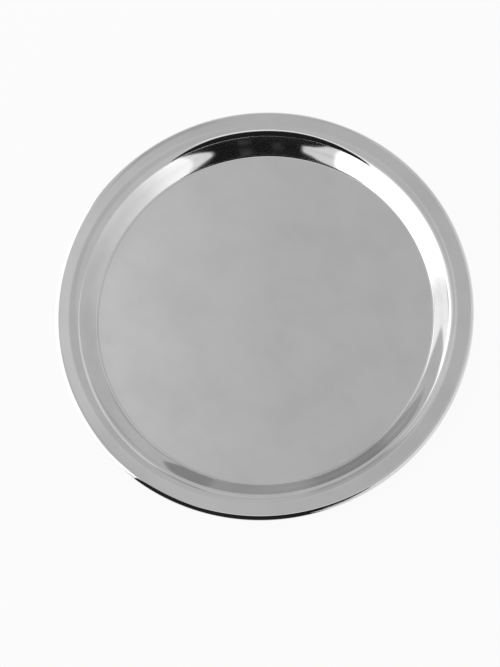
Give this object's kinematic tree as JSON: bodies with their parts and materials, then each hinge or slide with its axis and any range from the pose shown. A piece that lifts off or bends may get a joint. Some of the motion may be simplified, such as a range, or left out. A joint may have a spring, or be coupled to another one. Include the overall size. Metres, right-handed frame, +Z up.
{
  "type": "collection tray",
  "caption": "Round polished steel collection tray with a flat floor, a steep wall and a flat rim whose edge is rolled round a wire, for gathering and carrying offerings.",
  "frame": {"origin": "centre of the underside, on the surface that the tray stands on", "axes": "+Z up, along the axis that the tray is turned about; the tray is the same all round, and the wire's ends meet at +Y"},
  "size_m": [0.3, 0.3, 0.0208],
  "materials": {
    "polished_sheet": "polished",
    "edge_wire": "satin"
  },
  "bodies": {
    "root": {"tray_pan": "polished_sheet", "rim_wire": "edge_wire"}
  },
  "joints": []
}
